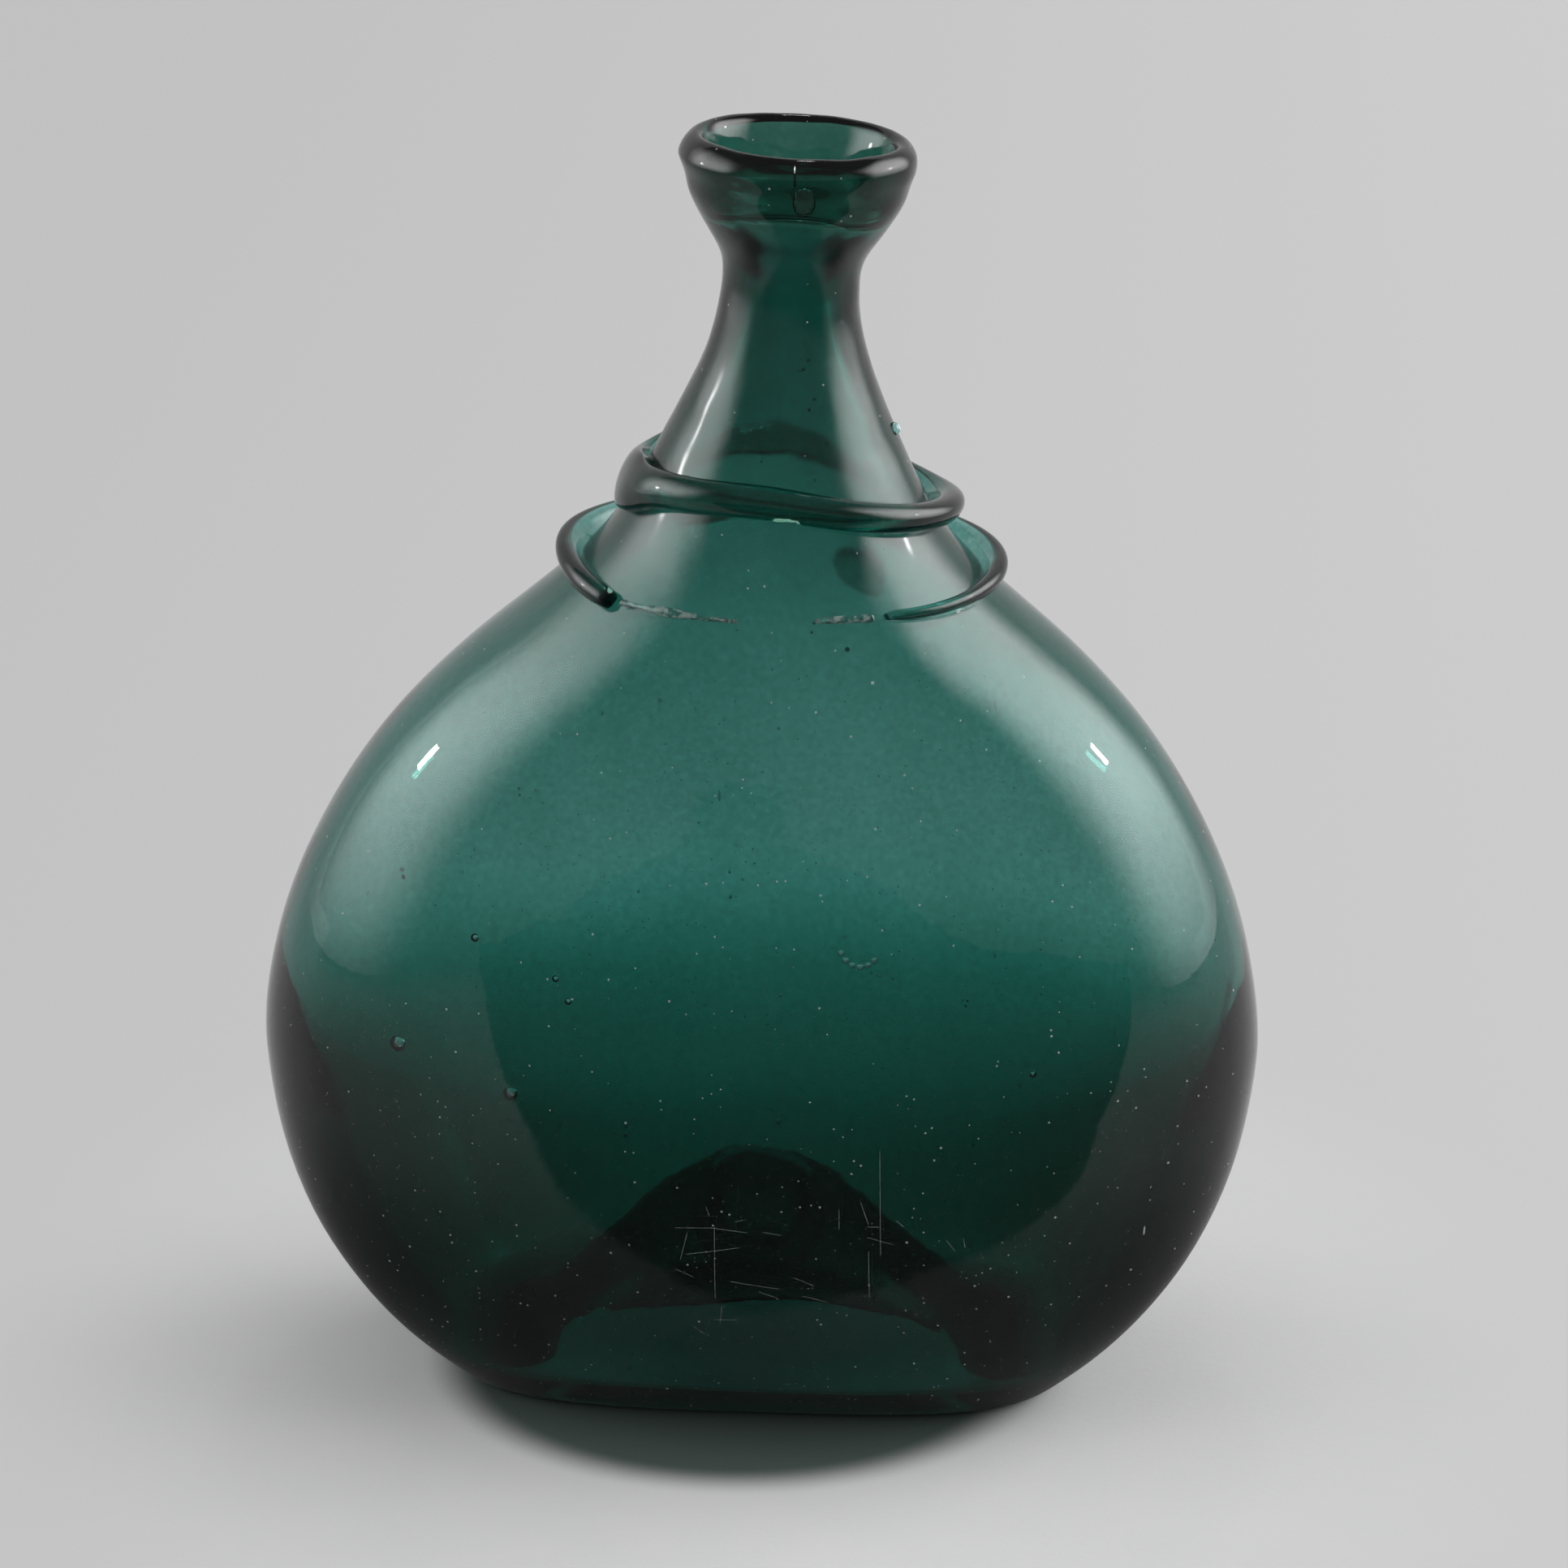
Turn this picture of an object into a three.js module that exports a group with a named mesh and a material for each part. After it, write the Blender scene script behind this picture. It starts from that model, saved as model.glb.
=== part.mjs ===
// Flattened glass flask: one blown bulb of glass with a lip folded over inside its mouth, two
// threads of glass laid round its neck, and the scar of the iron rod that held its base.
//
// Millimetres, +Z up. X runs across the broad face and Y through the thin side, and the photo
// looks from -Y. The origin is on the standing surface, under the middle of the belly.

import * as THREE from "three";

// Heights above the standing surface, on the leaning axis
const height = 170;
const mouthHeight = 19;
const lipHeight = 5.2;
const bellyLevel = 46;

// Outside widths along X and depths along Y
const baseWidth = 78;
const baseDepth = 35;
const bellyWidth = 131.6;
const bellyDepth = 66;
const waistWidth = 17.4;
const waistDepth = 16.8;
const lipWidth = 30.8;
const lipDepth = 26.4;

// Glass: thick at the heel above the foot, thin over the belly, and thick again in the neck
const footWall = 5.5;
const heelWall = 6.8;
const bellyWall = 2.1;
const neckWall = 4.4;
const mouthWall = 2.4;
const foldWall = 1.8;
const foldDrop = 9;
const foldWave = 0.6;

// Kick: the dome pushed up into the base, inside the ring that the flask stands on
const kickHeight = 20.5;
const kickWall = 2.2;
const footRing = 4;

// The neck leans to +X, and the mouth tips over with it, in degrees
const mouthOffset = 5.2;
const mouthTip = 3;

// Threads and drops of glass added on the outside
const threadWidth = 3.7;
const threadProud = 3;
const gobWidth = 8;
const brokenWidth = 2.7;
const brokenProud = 2.4;
const sliverWidth = 1.3;
const sliverProud = 0.6;
const dropWidth = 8;
const dropProud = 1.6;
const beadWidth = 1.8;
const beadProud = 0.9;
const pontilProud = 1.3;

// Gap left between two pieces of glass that are melted together on the real flask
const seam = 0.3;

// Levels that follow from the sizes
const waistLevel = height - mouthHeight;
const lipSeat = height - lipHeight;
const widestShare = 0.33;
const foldEdge = height - foldDrop - foldWave;

// Where the wall changes: shares of the belly's level for the heel, and of the way from the
// belly to the waist for the neck
const heelShare = 0.4;
const heelTopShare = 0.72;
const thinShare = 1.34;
const neckShare = 0.42;

// Corners of a section: 2 makes an ellipse, and a higher power makes it squarer. Sections are
// elliptic from a share of the way up to the waist, where they begin to tip too.
const basePower = 3.45;
const bellyPower = 2.3;
const neckPower = 2;
const roundShare = 0.6;
const leanPower = 1.5;

const sectionSides = 48;
const threadSides = 12;
const threadSteps = 48;
const dropSides = 16;
const foldWaves = 3;

// Outline from the foot to the belly: the share of the way up, and the shares of the growth in
// width and in depth
const footShares = [
  [0, 0, 0],
  [0.03, 0.08, 0.08],
  [0.08, 0.17, 0.2],
  [0.174, 0.34, 0.41],
  [0.348, 0.59, 0.67],
  [0.61, 0.85, 0.9],
  [1, 1, 1],
];

// Outline from the belly to the waist, in the same way, with shares of the narrowing
const shoulderShares = [
  [0.171, 0.042, 0.049],
  [0.324, 0.156, 0.146],
  [0.438, 0.291, 0.232],
  [0.533, 0.455, 0.31],
  [0.619, 0.64, 0.43],
  [0.695, 0.778, 0.598],
  [0.781, 0.86, 0.732],
  [0.857, 0.928, 0.85],
  [0.933, 0.98, 0.955],
  [1, 1, 1],
];

// Outline from the waist to the widest line of the lip, in the same way as the foot's
const mouthShares = [
  [0.26, 0.09, 0.09],
  [0.385, 0.28, 0.28],
  [0.51, 0.48, 0.48],
  [0.64, 0.68, 0.68],
  [0.77, 0.84, 0.84],
  [0.9, 0.955, 0.955],
  [1, 1, 1],
];

// Lip from its widest line over the crown: the share of the way up to the crown, and the share
// of the lip's thickness gone in
const crownShares = [
  [0.4, 0.08],
  [0.74, 0.24],
  [0.94, 0.44],
  [1, 0.62],
  [0.9, 0.82],
  [0.62, 0.96],
];

// Fold under the crown, in shares of the way from its free edge up to the lip's seat
const foldFrontShares = [1, 0.6, 0.2];
const foldBackShares = [0, 0.5];

// Kick from its rim's inner edge to near its top: the shares of the rim's width and depth, and
// the share of the height
const kickShares = [
  [1, 1, 0],
  [0.86, 0.92, 0.2],
  [0.7, 0.8, 0.46],
  [0.48, 0.66, 0.7],
  [0.23, 0.5, 0.88],
  [0.12, 0.3, 0.965],
];

// Rings that the blown glass is divided into: shares of the way from foot to belly, then counts
const footRingShares = [0, 0.03, 0.08, 0.15, 0.25, 0.38, 0.55, 0.77];
const shoulderRings = 24;
const mouthRings = 7;

// Section of a thread: shares of how far it stands proud that its middle lies at and that it
// reaches from there
const threadMiddleShare = 0.4;
const threadReachShare = 0.6;

// Threads: the turn in degrees from +X towards +Y, the share of the way from the belly to the
// waist, and the shares of the thread's width and of how far it stands proud. The gob is where
// the upper thread was dropped on and met its own end.
const gobTurn = 190;
const gobShare = gobWidth / threadWidth;
const upperThreadShares = [
  [gobTurn, 0.75, gobShare, 0.66],
  [203, 0.752, gobShare * 0.88, 0.8],
  [217, 0.762, gobShare * 0.66, 0.95],
  [234, 0.768, 1.28, 1],
  [270, 0.771, 1.2, 1],
  [306, 0.75, 1.14, 1.08],
  [335, 0.73, 1.1, 1.24],
  [360, 0.717, 1.14, 1.32],
  [390, 0.71, 1.04, 1.14],
  [420, 0.734, 0.96, 0.96],
  [450, 0.77, 0.95, 0.72],
  [485, 0.77, 0.95, 0.74],
  [515, 0.75, gobShare * 0.5, 0.84],
  [533, 0.75, gobShare * 0.78, 0.7],
  [gobTurn + 360, 0.75, gobShare, 0.66],
];
const lowerThreadShares = [
  [-56, 0.641, 0.46, 0.3],
  [-46, 0.637, 0.6, 0.55],
  [-29, 0.635, 0.72, 0.8],
  [0, 0.637, 1, 1.25],
  [42, 0.648, 0.94, 1.1],
  [90, 0.657, 0.93, 1],
  [138, 0.658, 0.96, 1.1],
  [180, 0.654, 1.06, 1.4],
  [204, 0.648, 1.12, 1.15],
  [216, 0.643, 1.15, 1],
  [224, 0.64, 1, 0.75],
];

// Slivers left where the lower thread broke away from the front
const leftSliverShares = [
  [227.5, 0.642, 0.9, 1],
  [234, 0.643, 0.6, 0.6],
  [242, 0.643, 1, 0.9],
  [252, 0.643, 0.55, 0.6],
  [263, 0.642, 0.4, 0.4],
];
const rightSliverShares = [
  [284, 0.643, 0.4, 0.4],
  [290, 0.643, 0.8, 0.8],
  [296, 0.642, 0.65, 0.7],
  [300, 0.641, 1, 1],
];

// Drop on the back of the shoulder and bead on the side of the neck: turn and level share, and
// the section that both have, in shares of the half width and of how far they stand proud
const dropPlace = { turn: 72, upShare: 0.575 };
const beadPlace = { turn: 0, upShare: 0.825 };
const dropSectionShares = [
  [1, 0],
  [0.97, 0.3],
  [0.78, 0.7],
  [0.42, 0.94],
];

// Pontil scar: the share of the way from the inner to the outer edge of its band, and the share
// that it hangs down by
const pontilShares = [
  [0.9, 0.6],
  [1, 0],
  [0, 0],
  [0.1, 0.7],
  [0.5, 1],
];

const fullTurn = 2 * Math.PI;
const smallAngle = 0.01;

const between = (low, high, share) => low + (high - low) * share;

// A section of the flask: half its width, half its depth and its level
const section = (halfWidth, halfDepth, level) => ({ halfWidth, halfDepth, level });

// Sections from one size to another, by rows of shares
function sectionsBetween(rows, low, high) {
  return rows.map(([up, wide, deep]) =>
    section(
      between(low.halfWidth, high.halfWidth, wide),
      between(low.halfDepth, high.halfDepth, deep),
      between(low.level, high.level, up),
    ),
  );
}

const foot = section(baseWidth / 2, baseDepth / 2, 0);
const belly = section(bellyWidth / 2, bellyDepth / 2, bellyLevel);
const waist = section(waistWidth / 2, waistDepth / 2, waistLevel);
const widest = section(lipWidth / 2, lipDepth / 2, between(lipSeat, height, widestShare));

const outline = [
  ...sectionsBetween(footShares, foot, belly),
  ...sectionsBetween(shoulderShares, belly, waist),
  ...sectionsBetween(mouthShares, waist, widest),
];
const outlineCurve = new THREE.CubicInterpolant(
  outline.map(({ level }) => level),
  outline.flatMap(({ halfWidth, halfDepth }) => [halfWidth, halfDepth]),
  2,
);

function outsideAt(level) {
  const [halfWidth, halfDepth] = outlineCurve.evaluate(level);
  return section(halfWidth, halfDepth, level);
}

// The wall between its five named thicknesses
function wallAt(level) {
  const share = (low, high) => THREE.MathUtils.smoothstep(level, low, high);
  const heel = between(footWall, heelWall, share(0, bellyLevel * heelShare));
  const thinning = share(bellyLevel * heelTopShare, bellyLevel * thinShare);
  const thickening = share(between(bellyLevel, waistLevel, neckShare), waistLevel);
  const neck = between(between(heel, bellyWall, thinning), neckWall, thickening);
  return between(neck, mouthWall, share(waistLevel, foldEdge));
}

// The section at a level of a surface that lies a thickness in, square to the outside's slope
function insetAt(level, thickness) {
  const here = outsideAt(level);
  const below = outsideAt(level - seam);
  const inset = (size) => {
    const slope = (here[size] - below[size]) / seam;
    return here[size] - thickness * Math.hypot(1, slope);
  };
  return section(inset("halfWidth"), inset("halfDepth"), level);
}

const insideAt = (level) => insetAt(level, wallAt(level));

// How far the axis has leant at a level, and the angle that the section there is tipped by
function leanAt(level) {
  const share = Math.max(0, (level - bellyLevel) / (height - bellyLevel));
  return mouthOffset * share ** leanPower;
}

function tipAt(level) {
  const start = between(bellyLevel, waistLevel, roundShare);
  const share = THREE.MathUtils.smoothstep(level, start, waistLevel);
  return THREE.MathUtils.degToRad(mouthTip * share);
}

function powerAt(level) {
  if (level < bellyLevel) return between(basePower, bellyPower, level / bellyLevel);
  const roundLevel = between(bellyLevel, waistLevel, roundShare);
  const share = (level - bellyLevel) / (roundLevel - bellyLevel);
  return between(bellyPower, neckPower, Math.min(1, share));
}

function pointOn({ halfWidth, halfDepth, level }, angle) {
  const power = powerAt(level);
  const c = Math.cos(angle);
  const s = Math.sin(angle);
  const reach = (Math.abs(c) ** power + Math.abs(s) ** power) ** (-1 / power);
  const across = halfWidth * c * reach;
  const tip = tipAt(level);
  return new THREE.Vector3(
    leanAt(level) + across * Math.cos(tip),
    halfDepth * s * reach,
    level - across * Math.sin(tip),
  );
}

const angles = (count) => Array.from({ length: count }, (unused, i) => (i / count) * fullTurn);
const ringAngles = angles(sectionSides);
const ringOf = (size) => ringAngles.map((angle) => pointOn(size, angle));

// A closed solid between rings with the same number of points. Its ends close on a point each,
// or on each other where none is given.
function solid(rings, startPoint, endPoint) {
  const sides = rings[0].length;
  const looped = !startPoint;
  const points = rings.flat();
  const faces = [];
  const spans = looped ? rings.length : rings.length - 1;
  for (let r = 0; r < spans; r++) {
    const here = r * sides;
    const next = ((r + 1) % rings.length) * sides;
    for (let i = 0; i < sides; i++) {
      const j = (i + 1) % sides;
      faces.push(here + i, here + j, next + j);
      faces.push(here + i, next + j, next + i);
    }
  }
  if (!looped) {
    const start = points.push(startPoint) - 1;
    const end = points.push(endPoint) - 1;
    const last = (rings.length - 1) * sides;
    for (let i = 0; i < sides; i++) {
      const j = (i + 1) % sides;
      faces.push(start, j, i);
      faces.push(end, last + i, last + j);
    }
  }
  const geometry = new THREE.BufferGeometry().setFromPoints(points);
  geometry.setIndex(faces);
  geometry.computeVertexNormals();
  return geometry;
}

const axisPoint = (level) => new THREE.Vector3(leanAt(level), 0, level);

// The kick's rim under the flask, and the rim that its upper side reaches out to
const kickRim = section(baseWidth / 2 - footRing, baseDepth / 2 - footRing, 0);
const cavityRim = section(kickRim.halfWidth + kickWall, kickRim.halfDepth + kickWall, 0);

function kickSections(rim, lift) {
  return kickShares.map(([wide, deep, up]) =>
    section(rim.halfWidth * wide, rim.halfDepth * deep, kickHeight * up + lift),
  );
}

function evenLevels(low, high, count) {
  return Array.from({ length: count }, (unused, i) => between(low, high, i / count));
}

// The bubble of glass: up the outside from under the kick, and down the inside from the mouth
function blownBulb() {
  const top = lipSeat - seam;
  const wallLevels = [
    ...footRingShares.map((share) => bellyLevel * share),
    ...evenLevels(bellyLevel, waistLevel, shoulderRings),
    ...evenLevels(waistLevel, top, mouthRings),
    top,
  ];
  const innerLevels = wallLevels.filter((level) => level > footWall + bellyWall).reverse();
  const sections = [
    ...kickSections(kickRim, 0).reverse(),
    ...wallLevels.map(outsideAt),
    ...innerLevels.map(insideAt),
    section(foot.halfWidth, foot.halfDepth, footWall),
    ...kickSections(cavityRim, kickWall).slice(1),
  ];
  return solid(sections.map(ringOf), axisPoint(kickHeight), axisPoint(kickHeight + kickWall));
}

// The lip: its crown, and the layer folded down inside the mouth to a wavy free edge
function foldedLip() {
  const thickness = mouthWall + foldWall;
  const crown = crownShares.map(([up, inward]) =>
    section(
      widest.halfWidth - thickness * inward,
      widest.halfDepth - thickness * inward,
      between(widest.level, height, up),
    ),
  );
  const levelUp = (angle, share) => {
    const edge = foldEdge + foldWave * (1 + Math.sin(foldWaves * angle));
    return between(edge, lipSeat - seam, share);
  };
  const foldRing = (share, depth) =>
    ringAngles.map((angle) => pointOn(insetAt(levelUp(angle, share), depth), angle));
  const back = mouthWall + seam;
  const seat = insetAt(lipSeat - seam, back);
  return solid([
    ringOf(outsideAt(lipSeat)),
    ringOf(widest),
    ...crown.map(ringOf),
    ...foldFrontShares.map((share) => foldRing(share, back + foldWall)),
    ...foldBackShares.map((share) => foldRing(share, back)),
    ringOf({ ...seat, level: lipSeat }),
  ]);
}

// A point over the outside: moved round the section, moved up the slope, and lifted off it
function overGlass(turn, level, round, up, lift) {
  const angle = THREE.MathUtils.degToRad(turn);
  const at = (someAngle, someLevel) => pointOn(outsideAt(someLevel), someAngle);
  const here = at(angle, level);
  const perAngle = at(angle + smallAngle, level).distanceTo(here) / smallAngle;
  const perLevel = at(angle, level + seam).distanceTo(here) / seam;
  const movedAngle = angle + round / perAngle;
  const movedLevel = level + up / perLevel;
  const point = at(movedAngle, movedLevel);
  const along = at(movedAngle + smallAngle, movedLevel).sub(point);
  const upward = at(movedAngle, movedLevel + seam).sub(point);
  return point.addScaledVector(along.cross(upward).normalize(), lift);
}

// A thread's rings, round where it is free and flat where it lies on the glass
function threadRings(rows, width, proud, steps) {
  const first = rows[0][0];
  const last = rows.at(-1)[0];
  const track = new THREE.CubicInterpolant(
    rows.map(([turn]) => turn),
    rows.flatMap(([, ...values]) => values),
    3,
  );
  return Array.from({ length: steps + 1 }, (unused, step) => {
    const turn = between(first, last, step / steps);
    const [up, wide, high] = track.evaluate(turn);
    const level = between(bellyLevel, waistLevel, up);
    return angles(threadSides).map((angle) => {
      const rise = (wide * width * Math.cos(angle)) / 2;
      const round = threadMiddleShare + threadReachShare * Math.sin(angle);
      return overGlass(turn, level, 0, rise, seam + high * proud * Math.max(0, round));
    });
  });
}

const middleOf = (ring) =>
  ring.reduce((sum, point) => sum.add(point), new THREE.Vector3()).divideScalar(ring.length);

function openThread(rows, width, proud, steps) {
  const rings = threadRings(rows, width, proud, steps);
  return solid(rings, middleOf(rings[0]), middleOf(rings.at(-1)));
}

const closedThread = (rows, width, proud) =>
  solid(threadRings(rows, width, proud, threadSteps).slice(0, -1));

const sliver = (rows) => openThread(rows, sliverWidth, sliverProud, rows.length * 2);

// A round drop of glass lying on the outside
function drop({ turn, upShare }, width, proud) {
  const level = between(bellyLevel, waistLevel, upShare);
  const rings = dropSectionShares.map(([out, up]) =>
    angles(dropSides).map((angle) => {
      const reach = (width / 2) * out;
      const [round, rise] = [reach * Math.cos(angle), reach * Math.sin(angle)];
      return overGlass(turn, level, round, rise, seam + proud * up);
    }),
  );
  const under = overGlass(turn, level, 0, 0, seam);
  const top = overGlass(turn, level, 0, 0, seam + proud);
  return solid(rings, under, top);
}

// The rough ring under the top of the kick, in the band between the last two sections
function pontilScar() {
  const [outer, inner] = kickSections(kickRim, -seam).slice(-2);
  const sections = pontilShares.map(([out, down]) =>
    section(
      between(inner.halfWidth, outer.halfWidth, out),
      between(inner.halfDepth, outer.halfDepth, out),
      between(inner.level, outer.level, out) - pontilProud * down,
    ),
  );
  return solid(sections.map(ringOf));
}

function glass(name, geometry) {
  const material = new THREE.MeshStandardMaterial({
    color: new THREE.Color(0.05, 0.3, 0.25),
    roughness: 0.05,
    transparent: true,
    opacity: 0.7,
  });
  const mesh = new THREE.Mesh(geometry, material);
  mesh.name = name;
  return mesh;
}

const flask = new THREE.Group();
flask.name = "glass_flask";
flask.add(
  glass("blown_bulb", blownBulb()),
  glass("folded_lip", foldedLip()),
  glass("upper_thread", closedThread(upperThreadShares, threadWidth, threadProud)),
  glass("lower_thread", openThread(lowerThreadShares, brokenWidth, brokenProud, threadSteps)),
  glass("left_sliver", sliver(leftSliverShares)),
  glass("right_sliver", sliver(rightSliverShares)),
  glass("shoulder_drop", drop(dropPlace, dropWidth, dropProud)),
  glass("neck_bead", drop(beadPlace, beadWidth, beadProud)),
  glass("pontil_scar", pontilScar()),
);

export default flask;
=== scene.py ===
import math
import random

import bpy
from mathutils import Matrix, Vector
from mathutils.bvhtree import BVHTree


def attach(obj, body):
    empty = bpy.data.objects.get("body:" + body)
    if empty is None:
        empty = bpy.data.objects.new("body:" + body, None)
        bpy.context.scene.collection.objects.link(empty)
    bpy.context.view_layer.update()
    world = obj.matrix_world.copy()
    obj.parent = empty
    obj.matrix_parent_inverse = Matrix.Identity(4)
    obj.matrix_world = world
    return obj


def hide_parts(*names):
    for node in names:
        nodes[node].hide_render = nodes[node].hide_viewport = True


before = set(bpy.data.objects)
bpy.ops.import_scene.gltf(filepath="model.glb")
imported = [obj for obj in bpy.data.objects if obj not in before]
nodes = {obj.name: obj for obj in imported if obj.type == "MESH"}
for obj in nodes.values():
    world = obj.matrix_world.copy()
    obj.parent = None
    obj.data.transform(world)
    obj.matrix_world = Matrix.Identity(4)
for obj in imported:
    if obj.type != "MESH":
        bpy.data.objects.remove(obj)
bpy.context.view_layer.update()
scene = bpy.context.scene
scene.view_settings.view_transform = "Standard"
mm = 0.001


# Camera: the photograph is square, and its size in pixels places a few details.
shot = {
    "pixels": 1932,
    "azimuth": 4,
    "elevation": 22,
    "angle": 17,
    "distance": 680.76 * mm,
    "target": (3.17 * mm, 0, 83.33 * mm),
    "sensor": 36,
    "nearest": 20 * mm,
}


def heading(azimuth, elevation):
    a, e = math.radians(azimuth), math.radians(elevation)
    return Vector((math.sin(a) * math.cos(e), -math.cos(a) * math.cos(e), math.sin(e)))


def placeCamera(shot):
    back = heading(shot["azimuth"], shot["elevation"])
    place = Vector(shot["target"]) + back * shot["distance"]
    turn = (-back).to_track_quat("-Z", "Y")
    bpy.ops.object.camera_add(location=place, rotation=turn.to_euler())
    camera = bpy.context.object
    camera.data.sensor_width = shot["sensor"]
    camera.data.lens = shot["sensor"] / 2 / math.tan(math.radians(shot["angle"] / 2))
    camera.data.clip_start = shot["nearest"]
    scene.camera = camera
    return place, turn


eye, eyeTurn = placeCamera(shot)


def sightLine(x, y):
    half = shot["pixels"] / 2
    reach = half / math.tan(math.radians(shot["angle"] / 2))
    return (eyeTurn @ Vector(((x - half) / reach, (half - y) / reach, -1))).normalized()


def treeOf(piece):
    return BVHTree.FromObject(piece, bpy.context.evaluated_depsgraph_get())


bulbTree = treeOf(nodes["blown_bulb"])


# Where a pixel of the photograph lies on the front of the bulb
def onSkin(x, y):
    return bulbTree.ray_cast(eye, sightLine(x, y))[0]


print("camera placed")


# Shader maths: a socket with the usual operators.
class Value:
    def __init__(self, shader, socket):
        self.shader, self.socket = shader, socket

    def maths(self, operation, *others):
        return self.shader.add(
            "ShaderNodeMath", {"operation": operation}, {i: v for i, v in enumerate((self, *others))}
        )

    def __add__(self, other):
        return self.maths("ADD", other)

    def __sub__(self, other):
        return self.maths("SUBTRACT", other)

    def __rsub__(self, other):
        return self.shader.add("ShaderNodeMath", {"operation": "SUBTRACT"}, {0: other, 1: self})

    def __mul__(self, other):
        return self.maths("MULTIPLY", other)

    def __rmul__(self, other):
        return self.maths("MULTIPLY", other)

    def __abs__(self):
        return self.maths("ABSOLUTE")

    def __gt__(self, other):
        return self.maths("GREATER_THAN", other)

    def __lt__(self, other):
        return self.maths("LESS_THAN", other)


class Shader:
    def __init__(self, tree):
        self.tree = tree
        tree.nodes.clear()

    def add(self, kind, settings=None, inputs=None, output=0):
        node = self.tree.nodes.new(kind)
        for name, value in (settings or {}).items():
            setattr(node, name, value)
        for name, value in (inputs or {}).items():
            if isinstance(value, Value):
                self.tree.links.new(value.socket, node.inputs[name])
            else:
                node.inputs[name].default_value = value
        return Value(self, node.outputs[output])

    def place(self):
        return self.add("ShaderNodeTexCoord", output="Object")

    def stretched(self, vector, scale):
        return self.add("ShaderNodeMapping", {}, {"Vector": vector, "Scale": scale})

    def noise(self, vector, scale, detail, roughness):
        values = {"Vector": vector, "Scale": scale, "Detail": detail, "Roughness": roughness}
        return self.add("ShaderNodeTexNoise", {}, values)

    def cells(self, vector, scale, output="Distance"):
        return self.add("ShaderNodeTexVoronoi", {}, {"Vector": vector, "Scale": scale}, output)

    def ramp(self, value, low, high, start=0, end=1):
        values = {"Value": value, "From Min": low, "From Max": high, "To Min": start, "To Max": end}
        return self.add("ShaderNodeMapRange", {"interpolation_type": "SMOOTHSTEP"}, values)

    def blend(self, factor, first, second):
        values = {"Factor": factor, 6: first, 7: second}
        return self.add("ShaderNodeMix", {"data_type": "RGBA"}, values, 2)

    def rays(self, *kinds):
        return [self.add("ShaderNodeLightPath", output=f"Is {kind} Ray") for kind in kinds]

    def tinted(self, first, second):
        values = {"Factor": 1.0, 6: first, 7: second}
        return self.add("ShaderNodeMix", {"data_type": "RGBA", "blend_type": "MULTIPLY"}, values, 2)

    def vectors(self, operation, inputs, output=0):
        return self.add("ShaderNodeVectorMath", {"operation": operation}, inputs, output)

    def distance(self, vector):
        return self.vectors("LENGTH", {0: vector}, "Value")

    def most(self, *values):
        first, *others = values
        for other in others:
            first = first.maths("MAXIMUM", other)
        return first

    def axis(self, vector, name):
        return self.add("ShaderNodeSeparateXYZ", {}, {"Vector": vector}, name)

    def bump(self, height, distance, strength, normal=None):
        values = {"Height": height, "Distance": distance, "Strength": strength}
        if normal:
            values["Normal"] = normal
        return self.add("ShaderNodeBump", {}, values)

    def surface(self, values):
        return self.add("ShaderNodeBsdfPrincipled", {}, values)

    def mixed(self, factor, first, second):
        return self.add("ShaderNodeMixShader", {}, {0: factor, 1: first, 2: second})

    def finish(self, surface, volume=None):
        values = {"Surface": surface}
        if volume:
            values["Volume"] = volume
        node = self.tree.nodes.new("ShaderNodeOutputMaterial")
        for name, value in values.items():
            self.tree.links.new(value.socket, node.inputs[name])


def newMaterial(name):
    material = bpy.data.materials.new(name)
    material.use_nodes = True
    return material, Shader(material.node_tree)


# Lamps: two large soft boxes at the sides, their flash tubes, and a small lamp overhead. A soft box
# fades to its edges over these shares of its width and height: left, right, foot and top. Below the
# share "foot" of its height, which lies under the floor, it is dark.
lamps = {
    "left_box": {
        "heading": (-87, 20),
        "distance": 0.8,
        "size": (1.20, 1.30),
        "radiance": 6.7,
        "spread": 120,
        "fade": (0.36, 0.36, 0.66, 0.60),
        "foot": 0.08,
    },
    "right_box": {
        "heading": (98, 20),
        "distance": 0.8,
        "size": (1.30, 1.30),
        "radiance": 7.8,
        "spread": 120,
        "fade": (0.36, 0.36, 0.56, 0.28),
        "foot": 0.05,
    },
    "left_tube": {
        "heading": (-92, 18),
        "distance": 0.75,
        "size": (0.045, 0.045),
        "radiance": 75,
        "spread": 180,
    },
    "right_tube": {
        "heading": (97, 22),
        "distance": 0.75,
        "size": (0.045, 0.045),
        "radiance": 75,
        "spread": 180,
    },
    "overhead": {
        "heading": (176, 64),
        "distance": 1.0,
        "size": (0.10, 0.10),
        "radiance": 30,
        "spread": 180,
    },
}
aim = Vector((3 * mm, 0, 85 * mm))  # what every lamp points at, the middle of the flask


def fadeLamp(light, lamp):
    light.data.use_nodes = True
    shader = Shader(light.data.node_tree)
    place = shader.add("ShaderNodeNewGeometry", output="Parametric")
    across, up = shader.axis(place, "X"), shader.axis(place, "Y")
    left, right, foot, top = lamp["fade"]
    strength = shader.ramp(across, 0, left) * shader.ramp(across, 1, 1 - right)
    strength = strength * shader.ramp(up, lamp["foot"], foot) * shader.ramp(up, 1, 1 - top)
    glow = shader.add("ShaderNodeEmission", {}, {"Strength": strength})
    node = shader.tree.nodes.new("ShaderNodeOutputLight")
    shader.tree.links.new(glow.socket, node.inputs["Surface"])


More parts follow.
